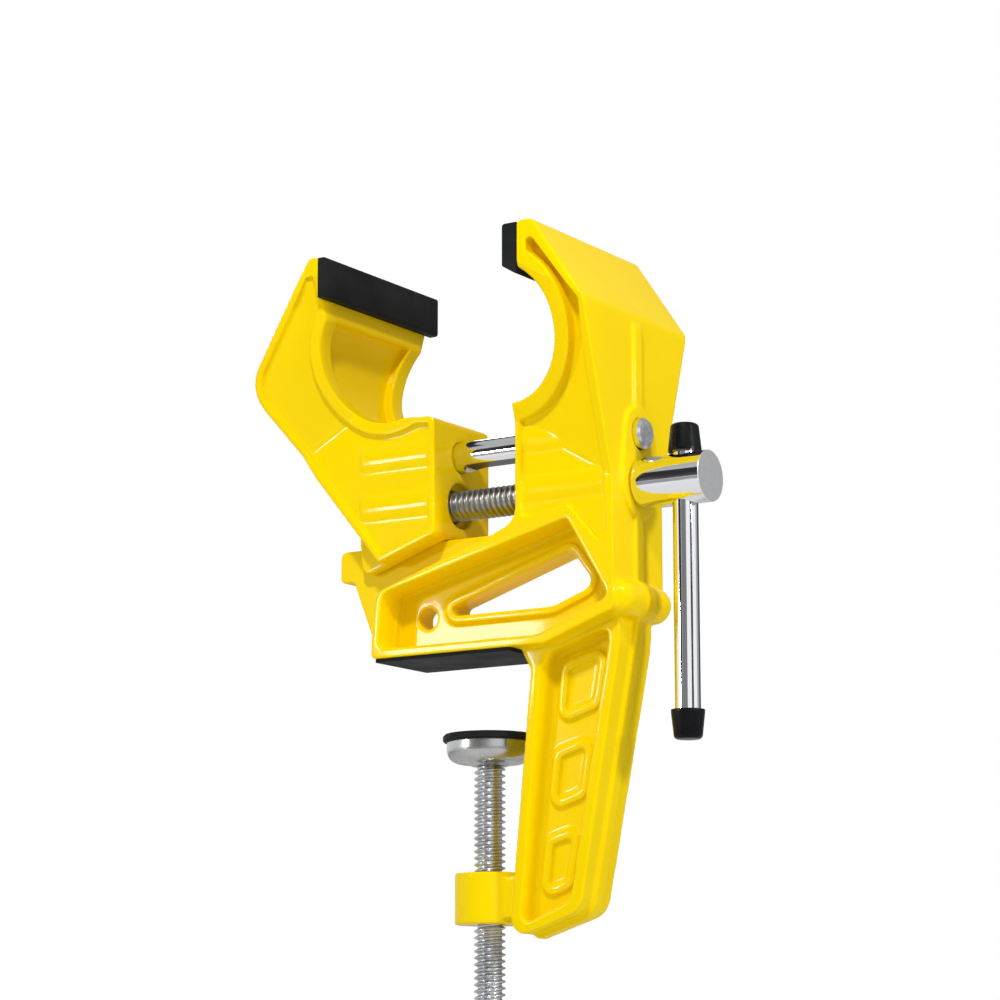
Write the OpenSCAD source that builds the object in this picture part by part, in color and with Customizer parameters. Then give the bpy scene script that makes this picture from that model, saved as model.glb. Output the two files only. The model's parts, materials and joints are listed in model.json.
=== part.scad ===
// Clamp-on tuning vise with two rubber-faced jaws, in millimetres.
// The origin is on the table seat, on the axis of the clamp screw, in the middle plane.
// +X points to the crank handle, +Y runs across the jaws, +Z points up.

/* [Sliding jaw] */
// Gap between the jaw blocks in the stored position
jaw_gap = 36.3; // [32:0.1:42]
// Height of the spindle axis above the table seat
spindle_z = 61.5; // [58:0.5:64]
// Height of the guide rod above the spindle
rod_rise = 19.4; // [17:0.1:21]
// Diameter of the guide rod
rod_d = 12; // [10:0.5:14]
// Diameter of the threaded spindle
spindle_d = 12; // [10:0.5:14]
// Length of the guide rod
rod_len = 129.5; // [112:0.5:140]

/* [Jaw heads] */
// Distance from the sliding block's face to the jaw's outer corner
slide_reach = 82; // [74:0.5:90]
// Distance from the fixed block's face to the frame's outer face
fixed_reach = 43.4; // [40:0.2:52]
// Width of both jaw heads
head_w = 78; // [64:1:90]
// Width of the fixed block and of the arm under it
block_w = 37; // [33:0.5:42]
// Width of the sliding block
slide_block_w = 39; // [35:0.5:44]
// Height of the jaw tips above the table seat
tip_z = 160; // [152:1:170]
// Height of the middle of the round throat
throat_z = 120; // [116:0.5:122]
// Radius of the round throat
throat_r = 25.2; // [22:0.2:26.4]
// Rim between a jaw's outline and its side pocket
jaw_wall = 2.8; // [2:0.1:4]
// Wall round the throats
throat_wall = 6; // [4:0.25:8]
// Depth of the side pockets in the jaws
pocket_depth = 2.2; // [1:0.1:4]
// Depth of the fixed jaw's side pockets at its tip
tip_depth = 6.5; // [3:0.5:9]

/* [Frame] */
// Distance from the clamp screw axis to the fixed block's inner face
face_x = 23.1; // [20:0.1:26]
// Wall round the arm's side pocket
arm_wall = 3.6; // [2.5:0.1:5]
// Thickness of the web in the arm
arm_web_t = 10; // [8:0.5:12]
// Thickness of the web in the leg
leg_web_t = 8; // [6:0.5:9]
// Width of the rail that the sliding jaw straddles
rail_w = 16; // [14:0.5:18]
// Height of the top of the rail
rail_z = 47; // [45:0.5:49]
// Width of the leg at its root
leg_root_w = 24; // [20:0.5:30]
// Width of the leg at its foot
leg_foot_w = 20; // [16:0.5:24]
// Depth of the leg below the table seat
leg_depth = 106; // [100:1:120]
// Thickness of the seat liner
liner_t = 1.5; // [1:0.1:3]

/* [Rubber pads] */
// Thickness of the pad on the fixed jaw
fixed_pad_t = 6.2; // [4:0.2:8]
// Thickness of the pad on the sliding jaw
slide_pad_t = 4; // [3:0.2:6]
// Height of the pads
pad_h = 17; // [12:0.5:20]

/* [Table clamp] */
// Distance from the table seat to the clamp pad
table_t = 29; // [18:1:40]
// Diameter of the clamp screw
clamp_d = 12; // [10:0.5:14]
// Outer diameter of the threaded boss
boss_d = 26.6; // [22:0.2:30]
// Length of the threaded boss
boss_len = 19.4; // [14:0.2:24]
// Diameter of the clamp pad's rubber
clamp_pad_d = 36; // [30:1:44]
// Diameter of the clamp pad's metal cup
cup_d = 33; // [28:1:40]
// Length of thread below the boss
clamp_tail = 34.9; // [30:0.1:50]

/* [Handles] */
// Diameter of both handle heads
head_d = 19.5; // [18:0.5:24]
// Length of both handle heads
head_len = 29.5; // [26:0.5:34]
// Diameter of both sliding bars
bar_d = 9.6; // [8:0.2:11]
// Overall length of a sliding bar with its end caps
bar_len = 118.4; // [100:0.2:150]
// Height of an end cap
cap_h = 10.9; // [9:0.1:15]
// Largest diameter of an end cap
cap_d = 12.6; // [12:0.1:15]

/* [Fits] */
// Radial running clearance of shafts in their bores
run_fit = 0.08; // [0.05:0.01:0.1]
// Radial clearance of pieces pressed into bores
press_gap = 0.02; // [0.01:0.01:0.04]
// Gap between faces that slide past each other
slide_gap = 0.3; // [0.2:0.05:0.4]

/* [Hidden] */

$fn = 96;
yellow = [1.0, 0.83, 0.02];
chrome = [0.86, 0.87, 0.89];
steel = [0.56, 0.58, 0.6];
zinc = [0.72, 0.72, 0.7];
black = [0.07, 0.07, 0.08];

corner_steps = 5;
reach = 500;
cut = 1;

rod_z = spindle_z + rod_rise;
slide_x = face_x - jaw_gap;
outer_x = face_x + fixed_reach;
pad_z = tip_z - pad_h;
seat_z = liner_t;
core_half = rail_w / 2;
arm_half = block_w / 2;
arm_web = arm_web_t / 2;
leg_web = leg_web_t / 2;
rod_r = rod_d / 2;
spindle_r = spindle_d / 2;
clamp_r = clamp_d / 2;

// Fixed head, measured from the fixed block's inner face
tip_setback = 14;
tip_top = 7;
throat_setback = 1.7;
shoulder_drop = 33;
tip_x = face_x + tip_setback;
fixed_throat_x = face_x + throat_setback;
shoulder_z = tip_z - shoulder_drop;

// Sliding jaw, measured from its own block face
slide_throat_setback = 22.2;
slide_tip_setback = 42.4;
slide_tip_top = 4.6;
block_drop = 0.4;
slide_slope = 0.327;
heel = [26.3, 8.1];
bend = [57.2, 14.4];
foot_setback = 40.7;
tail_drop = 7.8;
slide_throat_x = slide_x - slide_throat_setback;
slide_tip_x = slide_x - slide_tip_setback;
block_top = throat_z - throat_r - block_drop;
slide_outer_x = slide_x - slide_reach;
slide_bottom = [slide_x - heel[0], rail_z - heel[1]];
slide_bend = [slide_x - bend[0], spindle_z + bend[1]];
foot_left = slide_x - foot_setback;
slot_top = rail_z + slide_gap;
tail_z = throat_z - tail_drop;

// Recess in the wall of the sliding jaw's throat
throat_play = 0.4;
throat_recess = 4;
throat_recess_side = 8;
throat_recess_end = 12;

// Flare of the head sides: the direction in which a side widens, and where it starts and ends
fixed_flare_dir = 59.7;
fixed_flare = [87.1, 143.3];
slide_flare_dir = 118.1;
slide_flare = [111, 161];

// Arm
arm_slope = 0.324;
arm_top = [12.3, rail_z - 2.1];
arm_left = -43.5;
lug_setback = 52.5;
lug_left = slide_x - lug_setback;
lug_h = 12.6;
window_z = 17.4;
bead_r = 7;
bead_drop = 0.6;
bead_setback = 1;
bead_z = window_z - bead_drop;
bead_x = outer_x - bead_setback;
bead_dome = 4.5;
window_lip = 3;
window_lip_h = 1.6;
tie_hole_r = 4.25;
tie_hole = [-25.5, 17.5];

// Leg
leg_inner_top = [25.9, -7];
leg_slope_in = 0.1116;
leg_slope_out = 0.1876;
leg_wall = 4;
leg_draft = 3.5;
cell_top = -13.4;
cell_pitch = 32.9;
cell_h = 23.6;
cell_slope = 0.3;
cell_margin_in = 9.3;
cell_margin_out = 7.5;
cell_rim = 3.6;
cell_corner_r = 5;
cell_rise = 1.8;
rib_w = 6;
rib_h = 1.3;
bead_rib_h = 0.8;

// Raised pad round the bores in the outer face
pad_h_out = 1.6;
spindle_pad_r = 13;
rod_pad_r = 10.5;

// Handle heads: depth of the shank, distance of its pin, distance of the bar's hole from the end
shank_len = 12;
shank_pin_at = 6;
shank_pin_turn = 45;
bar_from_end = 10.8;

// Spindle retention in the inner face's counterbore
counterbore_r = spindle_r + 4.2;
counterbore_depth = 5.2;
washer_t = 1.4;
ring_t = 1.2;
ring_groove_depth = 0.9;
spindle_tail = 36;
spindle_left = slide_x - spindle_tail;
head_x = outer_x + pad_h_out + slide_gap;
spindle_end = head_x + shank_len;
bar_x = head_x + head_len - bar_from_end;

// Nut, pressed into the sliding block from the rear against a shoulder
nut_r = spindle_r + 2.6;
nut_face = 7;
nut_len = 20;
shoulder_bore_r = spindle_r + 0.8;
recess_r = spindle_r + 3;
recess_depth = 4;
nut_pin_in = 9;
nut_pin_x = slide_x - nut_face - nut_pin_in;

// Guide rod and its pins
rod_proud = 4.3;
rod_end = outer_x + rod_proud;
rod_start = rod_end - rod_len;
pin_r = 2;
flat_depth = 2;
hole_chamfer = 0.8;
stop_pin_in = 13;
stop_pin_x = face_x + stop_pin_in;
rod_travel_out = 24;
cutter_r = 12;
flat_from_block = 9.2;
flat_start = slide_x + flat_from_block;
flat_end = stop_pin_x + rod_travel_out + pin_r;
stop_pin_z = rod_z - rod_r + flat_depth - slide_gap - pin_r;
rod_pin_in = 30;
rod_pin_x = slide_x - rod_pin_in;
pin_near = -7.5;
pin_end_gap = 0.2;
fixed_floor = block_w / 2 - pocket_depth;
slide_floor = slide_block_w / 2 - pocket_depth;
boss_bulge = 0.9;
fixed_throat_rim = 1.1;
slide_throat_rim = 0.6;
tip_land = 7.6;
fixed_boss_r = fixed_floor + boss_bulge;
slide_boss_r = slide_floor + boss_bulge;
slide_boss_len = 36;
foot_wall = 4.7;

// Clamp screw and pad
boss_rise = 4.9;
boss_bottom = boss_rise - leg_depth;
boss_top = boss_bottom + boss_len;
rubber_t = 3;
cup_h = 8.2;
cup_top = -table_t - rubber_t;
cup_bottom = cup_top - cup_h;
neck_r = clamp_r - 2;
collar_r = clamp_r + 1.5;
collar_t = 2.6;
collar_top = cup_top - 1.5;
clamp_head_top = boss_bottom - clamp_tail;
clamp_end = clamp_head_top - shank_len;
clamp_bar_z = clamp_head_top - head_len + bar_from_end;
cap_spigot_r = bar_d / 2 - 1;
cap_spigot = cap_h - 3;

// Unit vector along v
function unit(v) = v / norm(v);
// Half of the angle between the edges that meet at b
function half_angle(a, b, c) = acos(unit(a - b) * unit(c - b)) / 2;
// Points x, z of an outline's corner, without its radius
function flat2(p) = [p[0], p[1]];
// Arc that rounds corner b, limited by the edges it lies on
function fillet(a, b, c, r) =
  let (h = half_angle(a, b, c),
       d = min(r / tan(h), 0.48 * norm(a - b), 0.48 * norm(c - b)),
       rr = d * tan(h),
       mid = b + unit(unit(a - b) + unit(c - b)) * rr / sin(h),
       s = b + unit(a - b) * d - mid,
       e = b + unit(c - b) * d - mid,
       a0 = atan2(s[1], s[0]),
       turn = ((atan2(e[1], e[0]) - a0 + 540) % 360) - 180)
  [for (i = [0:corner_steps]) mid + rr * [cos(a0 + turn * i / corner_steps),
                                          sin(a0 + turn * i / corner_steps)]];
// Outline of corners [x, z, radius] with each corner rounded
function rounded(p) = [for (i = [0:len(p) - 1])
  let (a = flat2(p[(i + len(p) - 1) % len(p)]), b = flat2(p[i]), c = flat2(p[(i + 1) % len(p)]))
  each (p[i][2] > 0 ? fillet(a, b, c, p[i][2]) : [b])];
// The same outline moved inwards by d, or outwards when d is negative; corners run counter-clockwise
function moved_in(p, d) = [for (i = [0:len(p) - 1])
  let (a = flat2(p[(i + len(p) - 1) % len(p)]), b = flat2(p[i]), c = flat2(p[(i + 1) % len(p)]),
       side = cross(b - a, c - b) > 0 ? 1 : -1,
       q = b + unit(unit(a - b) + unit(c - b)) * side * d / sin(half_angle(a, b, c)))
  [q[0], q[1], max(p[i][2] - side * d, 0.6)]];

// Side profile drawn in X and Z, given a thickness about the middle plane
module plate(half) {
  rotate([90, 0, 0]) linear_extrude(2 * half, center = true) children();
}

// Bar along X between two X values
module along_x(r, x0, x1, z) {
  translate([x0, 0, z]) rotate([0, 90, 0]) cylinder(r = r, h = x1 - x0);
}

// Bar along Y between two Y values
module along_y(r, y0, y1, x, z) {
  translate([x, y0, z]) rotate([-90, 0, 0]) cylinder(r = r, h = y1 - y0);
}

// Space between the flared side faces of a jaw, drawn in by inset on each side
module flare(dir, span, narrow, wide, inset = 0) {
  n = narrow / 2 - inset;
  w = wide / 2 - inset;
  rotate([0, -dir, 0]) linear_extrude(2 * reach, center = true)
    polygon([[-reach, n], [span[0], n], [span[1], w], [reach, w],
             [reach, -w], [span[1], -w], [span[0], -n], [-reach, -n]]);
}

// Outlines in X and Z

fixed_outline = [[face_x, rail_z + 10, 0], [outer_x, rail_z + 10, 0], [outer_x, shoulder_z, 5],
  [tip_x + tip_top, tip_z, 3], [tip_x, tip_z, 2], [tip_x, throat_z, 0], [face_x, throat_z, 0]];

slide_outline = [[slide_x, rail_z + 0.8, 2], [slide_x, block_top, 3],
  [slide_throat_x, block_top + 1.4, 0], [slide_throat_x, throat_z, 0],
  [slide_tip_x, throat_z, 0], [slide_tip_x, tip_z, 1.5], [slide_tip_x - slide_tip_top, tip_z, 3],
  [slide_tip_x - 13.4, tip_z - 14.2, 12], [slide_outer_x, tail_z, 14],
  [slide_bend[0], slide_bend[1], 20], [slide_bottom[0], slide_bottom[1], 2.5]];

arm_outline = [[arm_left, seat_z, 2], [face_x + 1, seat_z, 0], [outer_x - 30, seat_z, 0],
  [outer_x, window_z - 5.2, 3], [outer_x, rail_z + 16, 0], [face_x, rail_z + 16, 0],
  [face_x, rail_z + 2.2, 7], [arm_top[0], arm_top[1], 12],
  [arm_left + 1.5, arm_top[1] - (arm_top[0] - arm_left - 1.5) * arm_slope, 7]];

arm_pocket = [[arm_left + arm_wall, seat_z + arm_wall, 3.5],
  [outer_x - 33, seat_z + arm_wall, 10], [outer_x - 2, bead_z + 0.2, 3],
  [face_x + 23.1, rail_z + 1.2, 2],
  [arm_left + arm_wall + 1.3, arm_top[1] - (arm_top[0] - arm_left) * arm_slope - 0.2, 5]];

window = [[face_x - 36, window_z, 3], [face_x + 9.5, window_z, 8],
  [face_x + 28.3, window_z + 6.8, 3.5], [face_x + 17.6, window_z + 21.1, 3],
  [face_x - 37, window_z + 3.6, 3]];

// X of the leg's inner and outer edges at height z
function leg_in(z) = leg_inner_top[0] + leg_slope_in * (z - leg_inner_top[1]);
function leg_out(z) = outer_x - 1.6 + leg_slope_out * z;

leg_outline = [[leg_in(-leg_depth), -leg_depth - 2, 6],
  [leg_out(8 - leg_depth), 8.2 - leg_depth, 9], [leg_out(0), 0, 0], [outer_x - 1.2, window_z - 3, 0],
  [outer_x - 34, seat_z + 2.4, 0], [face_x - 2, seat_z + 2.4, 0], [face_x - 2, seat_z + 0.6, 1],
  [leg_inner_top[0], leg_inner_top[1], 5]];

leg_pocket = [[leg_in(-leg_depth) + leg_wall + 1, -leg_depth + 3.4, 3],
  [leg_out(8 - leg_depth) - leg_wall - 0.5, 12.6 - leg_depth, 5],
  [leg_out(2) - leg_wall, 7, 3], [leg_inner_top[0] + leg_wall + 4, -1, 4],
  [leg_inner_top[0] + leg_wall, -9, 5]];

fixed_pocket = [[face_x + jaw_wall, rail_z + 2.4, 3], [face_x + 23.4, rail_z + 6.6, 2],
  [outer_x - jaw_wall, rail_z - 12.6, 2.5], [outer_x - jaw_wall - 1.8, spindle_z + 6, 20],
  [outer_x - jaw_wall - 1.8, shoulder_z - 16, 20], [outer_x - jaw_wall, shoulder_z - 0.8, 2],
  [tip_x + tip_top - 0.4, tip_z - 7.2, 1.5], [tip_x + 4.2, tip_z - 7.8, 1.5],
  [tip_x + 4.2, throat_z, 0], [face_x + jaw_wall, throat_z, 0]];

// Corners of raised cell number k on the leg's web
function cell(k) =
  let (zc = cell_top - k * cell_pitch, top = zc + cell_h / 2, low = zc - cell_h / 2,
       l = leg_in(zc) + cell_margin_in, r = leg_out(zc) - cell_margin_out,
       lean_in = leg_slope_in * cell_h / 2, lean_out = leg_slope_out * cell_h / 2,
       drop = cell_slope * (r - l) / 2)
  [[l - lean_in, low - drop, cell_corner_r], [r - lean_out, low + drop, cell_corner_r],
   [r + lean_out, top + drop, cell_corner_r], [l + lean_in, top - drop, cell_corner_r]];

module ring_profile(outline, width) {
  difference() {
    polygon(rounded(outline));
    polygon(rounded(moved_in(outline, width)));
  }
}

// The arm and the fixed jaw above it, with the jaw's flared sides
module arm_and_head() {
  intersection() {
    plate(head_w) difference() {
      union() {
        polygon(rounded(arm_outline));
        polygon(rounded(fixed_outline));
      }
      translate([fixed_throat_x, throat_z]) circle(r = throat_r);
    }
    flare(fixed_flare_dir, fixed_flare, block_w, head_w);
  }
}

// Side pockets of the fixed jaw, left open round the bosses for rod and spindle
module fixed_pockets() {
  difference() {
    plate(head_w) difference() {
      polygon(rounded(fixed_pocket));
      translate([fixed_throat_x, throat_z]) circle(r = throat_r + throat_wall + fixed_throat_rim);
    }
    flare(fixed_flare_dir, fixed_flare, 2 * fixed_floor, head_w - 2 * tip_depth);
    for (z = [spindle_z, rod_z]) along_x(fixed_boss_r, face_x, outer_x, z);
  }
}

// Side pockets of the arm, down to its web
module arm_pockets() {
  difference() {
    plate(block_w) polygon(rounded(arm_pocket));
    plate(arm_web) square(2 * reach, center = true);
  }
}

// Raised lip round the window, and the rail on top of the arm
module lip_and_rail() {
  difference() {
    plate(arm_web + window_lip_h) polygon(rounded(moved_in(window, -window_lip)));
    plate(block_w) polygon(rounded(window));
  }
  plate(core_half) polygon(rounded([[lug_left, rail_z - lug_h, 2], [lug_left + 6.5, rail_z - lug_h, 0],
    [arm_left - 2.5, seat_z, 1], [arm_left + 4, seat_z, 0], [arm_left + 6, rail_z - 20, 0],
    [face_x + 4, rail_z - 4, 0], [face_x + 4, rail_z + 8, 0], [face_x, rail_z + 8, 0],
    [face_x, rail_z, 7], [lug_left, rail_z, 2.5]]));
}

// Slanted inner walls of the leg's side pockets
module leg_draft_wedges() {
  rim = leg_root_w / 2;
  low = leg_web - 1;
  translate([leg_in(-leg_depth), 0, -leg_depth]) rotate([0, atan(leg_slope_in), 0]) linear_extrude(leg_depth)
    polygon([[0, -rim], [leg_wall, -rim], [leg_wall + leg_draft, -low], [leg_wall + leg_draft, low],
      [leg_wall, rim], [0, rim]]);
}

// Leg down to the clamp boss, with three raised cells on its web
module leg() {
  difference() {
    intersection() {
      plate(arm_half) polygon(rounded(leg_outline));
      rotate([90, 0, 90]) linear_extrude(reach)
        polygon([[-leg_foot_w / 2, -leg_depth - 3], [leg_foot_w / 2, -leg_depth - 3],
                 [leg_root_w / 2, seat_z], [leg_root_w / 2, reach],
                 [-leg_root_w / 2, reach], [-leg_root_w / 2, seat_z]]);
    }
    difference() {
      plate(block_w) polygon(rounded(leg_pocket));
      plate(leg_web) square(2 * reach, center = true);
      leg_draft_wedges();
    }
  }
  for (k = [0:2]) plate(leg_web + cell_rise) ring_profile(cell(k), cell_rim);
}

// Parting rib down the outer face and under the foot of the leg
module parting_rib() {
  plate(rib_w / 2) {
    polygon(rounded([[outer_x - 4, bead_z, 0], [outer_x + rib_h, bead_z, 0],
      [outer_x + rib_h, shoulder_z - 4, 1], [outer_x - 4, shoulder_z - 2, 1]]));
    translate([bead_x, bead_z]) circle(r = bead_r + bead_rib_h);
  }
  plate(rib_w / 2) polygon(rounded([[leg_in(-leg_depth) + 7, -leg_depth - 1.6, 2],
    [leg_out(8 - leg_depth) + rib_h, 6.8 - leg_depth, 9], [leg_out(12) + rib_h, 12, 0],
    [leg_out(12) - 3, 12, 0], [leg_out(20 - leg_depth) - 3, 20 - leg_depth, 0],
    [leg_out(20 - leg_depth) - 14, 10 - leg_depth, 0],
    [leg_in(-leg_depth) + 7, 3 - leg_depth, 0]]));
}

// Round bead across the outer face, with domed ends
module outer_bead() {
  half = arm_half - 0.8;
  dome = [for (a = [90:-15:0]) [bead_r * cos(a), half - bead_dome * (1 - sin(a))]];
  translate([bead_x, 0, bead_z]) rotate([90, 0, 0]) rotate_extrude()
    polygon(concat(dome, [for (i = [len(dome) - 1:-1:0]) [dome[i][0], -dome[i][1]]]));
}

// Raised pad round the bores of spindle and guide rod
module bore_pad() {
  tilt = asin((spindle_pad_r - rod_pad_r) / rod_rise);
  translate([outer_x - cut, 0, spindle_z]) rotate([90, 0, 90]) linear_extrude(pad_h_out + cut) {
    circle(r = spindle_pad_r);
    translate([0, rod_rise]) circle(r = rod_pad_r);
    polygon([for (side = [-1, 1], end = [side, -side])
      let (r = end < 0 ? spindle_pad_r : rod_pad_r)
      [side * r * cos(tilt), (end < 0 ? 0 : rod_rise) + r * sin(tilt)]]);
  }
}

module frame_casting() {
  color(yellow) difference() {
    union() {
      difference() {
        union() {
          arm_and_head();
          outer_bead();
        }
        arm_pockets();
        fixed_pockets();
      }
      lip_and_rail();
      leg();
      parting_rib();
      bore_pad();
      translate([0, 0, boss_bottom]) cylinder(d = boss_d, h = boss_len);
      plate(leg_foot_w / 2 - 2) polygon([[0, boss_bottom + 2], [leg_in(boss_bottom) + 3, boss_bottom + 2],
        [leg_in(boss_top) + 3, boss_top - 2], [0, boss_top - 2]]);
    }
    plate(block_w) polygon(rounded(window));
    along_y(tie_hole_r, -block_w, block_w, tie_hole[0], tie_hole[1]);
    along_x(rod_r + run_fit, face_x - cut, outer_x + 4 * cut, rod_z);
    along_x(spindle_r + run_fit, face_x - cut, outer_x + 4 * cut, spindle_z);
    along_x(counterbore_r, face_x - cut, face_x + counterbore_depth, spindle_z);
    along_y(pin_r + press_gap, pin_near, block_w, stop_pin_x, stop_pin_z);
    translate([0, 0, boss_bottom - cut]) cylinder(r = clamp_r + run_fit, h = boss_len + 2 * cut);
  }
}

// Rubber liner under the arm, where the vise sits on the table
module seat_liner() {
  color(black) translate([arm_left + 2, 1 - arm_half, 0])
    cube([face_x - 5 - arm_left, block_w - 2, liner_t]);
}

// The sliding jaw with its flared sides
module slide_body() {
  intersection() {
    plate(head_w) difference() {
      polygon(rounded(slide_outline));
      translate([slide_throat_x, throat_z]) circle(r = throat_r + throat_play);
    }
    flare(slide_flare_dir, slide_flare, slide_block_w, head_w);
  }
}

module slide_pockets() {
  difference() {
    plate(head_w) difference() {
      polygon(rounded(moved_in(slide_outline, jaw_wall)));
      translate([slide_throat_x, throat_z]) circle(r = throat_r + throat_wall - slide_throat_rim);
      translate([slide_tip_x - reach, tip_z - tip_land]) square(reach);
    }
    flare(slide_flare_dir, slide_flare, slide_block_w, head_w, pocket_depth);
    for (z = [spindle_z, rod_z]) along_x(slide_boss_r, slide_x - slide_boss_len, slide_x, z);
  }
}

// Fork that straddles the rail and keeps the jaw upright
module slide_foot() {
  plate(core_half + slide_gap + foot_wall) polygon(rounded([
    [foot_left + 2.5, slide_bottom[1] - (slide_bottom[0] - foot_left - 2.5) * slide_slope, 3.5],
    [slide_bottom[0] + 2, slide_bottom[1] + 2 * slide_slope, 0],
    [slide_bottom[0] + 2, spindle_z, 0], [foot_left, spindle_z, 0]]));
}

module moving_jaw_casting() {
  color(yellow) difference() {
    union() {
      difference() {
        slide_body();
        slide_pockets();
      }
      slide_foot();
    }
    // Recess in the wall of the throat
    intersection() {
      plate(head_w) translate([slide_throat_x, throat_z]) circle(r = throat_r + throat_recess);
      flare(slide_flare_dir, slide_flare, slide_block_w, head_w, throat_recess_side);
      translate([slide_throat_x - reach, -reach, throat_z - throat_r + throat_recess])
        cube([reach - 6, 2 * reach, throat_r + throat_recess_end]);
    }
    // Slot over the rail
    translate([slide_x - reach, -core_half - slide_gap, -reach])
      cube([2 * reach, rail_w + 2 * slide_gap, reach + slot_top]);
    along_x(rod_r + press_gap, rod_start, slide_x + cut, rod_z);
    translate([slide_x - hole_chamfer, 0, rod_z]) rotate([0, 90, 0])
      cylinder(r1 = rod_r + press_gap, r2 = rod_r + press_gap + 2 * hole_chamfer, h = 2 * hole_chamfer);
    along_x(recess_r, slide_x - recess_depth, slide_x + cut, spindle_z);
    along_x(shoulder_bore_r, slide_x - nut_face - cut, slide_x, spindle_z);
    along_x(nut_r + press_gap, slide_x - reach, slide_x - nut_face, spindle_z);
    along_y(pin_r + press_gap, pin_near, block_w, rod_pin_x, rod_z);
    along_y(pin_r + press_gap, spindle_r + 1, block_w, nut_pin_x, spindle_z);
  }
}

// Pad profile with a slanted lip under the fixed jaw's tip
module fixed_jaw_pad() {
  lip = 3.8;
  color(black) plate(head_w / 2) polygon(rounded([[tip_x - fixed_pad_t, pad_z, 1],
    [tip_x, pad_z - lip, 0.6], [tip_x, tip_z - 0.6, 0], [tip_x - fixed_pad_t, tip_z - 0.6, 1.2]]));
}

module moving_jaw_pad() {
  color(black) plate(head_w / 2) polygon(rounded([[slide_tip_x, pad_z + 0.4, 0],
    [slide_tip_x + slide_pad_t, pad_z + 0.4, 1.2], [slide_tip_x + slide_pad_t, tip_z - 0.6, 1.2],
    [slide_tip_x, tip_z - 0.6, 0]]));
}

// Guide rod with a long flat on its underside, chamfered at both ends
module guide_rod() {
  color(chrome) difference() {
    translate([rod_start, 0, rod_z]) rotate([0, 90, 0]) rotate_extrude()
      polygon([[0, 0], [rod_r - 1, 0], [rod_r, 1], [rod_r, rod_len - 1], [rod_r - 1, rod_len], [0, rod_len]]);
    translate([flat_start, -rod_r, rod_z - rod_r - cut])
      cube([flat_end - flat_start, rod_d, flat_depth + cut]);
    for (x = [flat_start, flat_end]) along_y(cutter_r, -rod_d, rod_d, x, rod_z - rod_r + flat_depth - cutter_r);
    along_y(pin_r, -rod_r - cut, rod_r + cut, rod_pin_x, rod_z);
  }
}

// Cross pin that holds the guide rod in the sliding jaw
module guide_rod_pin() {
  color(steel) along_y(pin_r, pin_near + pin_end_gap, slide_boss_r - slide_gap, rod_pin_x, rod_z);
}

// Cross pin under the guide rod that stops it at the end of its flat
module rod_stop_pin() {
  color(steel) along_y(pin_r, pin_near + pin_end_gap, fixed_floor - slide_gap, stop_pin_x, stop_pin_z);
}

module jaw_spindle() {
  groove_x = face_x + counterbore_depth - washer_t - ring_t - 0.2;
  color(steel) difference() {
    translate([spindle_left, 0, spindle_z]) rotate([0, 90, 0]) rotate_extrude()
      polygon([[0, 0], [spindle_r - 1.5, 0], [spindle_r, 1.5],
        [spindle_r, groove_x - spindle_left], [spindle_r - ring_groove_depth, groove_x - spindle_left],
        [spindle_r - ring_groove_depth, groove_x + ring_t + 0.1 - spindle_left],
        [spindle_r, groove_x + ring_t + 0.1 - spindle_left],
        [spindle_r, spindle_end - spindle_left], [0, spindle_end - spindle_left]]);
    translate([head_x + shank_pin_at, 0, spindle_z]) rotate([shank_pin_turn - 180, 0, 0])
      cylinder(r = pin_r, h = head_d);
  }
}

// Washer at the bottom of the counterbore
module spindle_washer() {
  color(steel) translate([face_x + counterbore_depth - washer_t - 0.05, 0, spindle_z]) rotate([0, 90, 0])
    difference() {
      cylinder(r = counterbore_r - 0.4, h = washer_t);
      translate([0, 0, -cut]) cylinder(r = spindle_r + 0.3, h = washer_t + 2 * cut);
    }
}

// Open ring sprung into the spindle's groove
module spindle_retaining_ring() {
  groove_x = face_x + counterbore_depth - washer_t - ring_t - 0.2;
  color(steel) translate([groove_x + 0.05, 0, spindle_z]) rotate([0, 90, 0]) difference() {
    cylinder(r = spindle_r + 2.4, h = ring_t);
    translate([0, 0, -cut]) cylinder(r = spindle_r - ring_groove_depth + press_gap, h = ring_t + 2 * cut);
    translate([0, -2.5, -cut]) cube([head_d, 5, ring_t + 2 * cut]);
  }
}

// Cross-drilled head: a turned blank with a blind hole for the shank, drawn along +Z
module handle_head(shank_r, shank_len, hole_at) {
  difference() {
    rotate_extrude() polygon([[0, 0], [head_d / 2 - 0.8, 0], [head_d / 2, 0.8],
      [head_d / 2, head_len - 1.8], [head_d / 2 - 0.5, head_len - 0.6], [head_d / 2 - 1.8, head_len],
      [0, head_len]]);
    translate([0, 0, -cut]) cylinder(r = shank_r + press_gap, h = shank_len + cut);
    translate([0, 0, hole_at]) rotate([0, 90, 0]) cylinder(r = bar_d / 2 + run_fit, h = 2 * head_d, center = true);
    translate([0, 0, shank_pin_at]) rotate([0, 90, shank_pin_turn])
      cylinder(r = pin_r + press_gap, h = head_d);
  }
}

// Pin that locks a head to its shank, flush with the head's surface
module handle_head_pin() {
  intersection() {
    translate([0, 0, shank_pin_at]) rotate([0, 90, shank_pin_turn]) cylinder(r = pin_r, h = head_d);
    translate([0, 0, shank_pin_at]) cylinder(r = head_d / 2 - 0.2, h = 3 * pin_r, center = true);
  }
}

module spindle_place() {
  translate([head_x, 0, spindle_z]) rotate([0, 90, 0]) children();
}

module clamp_place() {
  translate([0, 0, clamp_head_top]) rotate([180, 0, 90]) children();
}

module spindle_head() {
  color(chrome) spindle_place() handle_head(spindle_r, shank_len + 0.1, head_len - bar_from_end);
}

module spindle_head_pin() {
  color(steel) spindle_place() difference() {
    handle_head_pin();
    translate([0, 0, -cut]) cylinder(r = 1.2, h = 20);
  }
}

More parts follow.
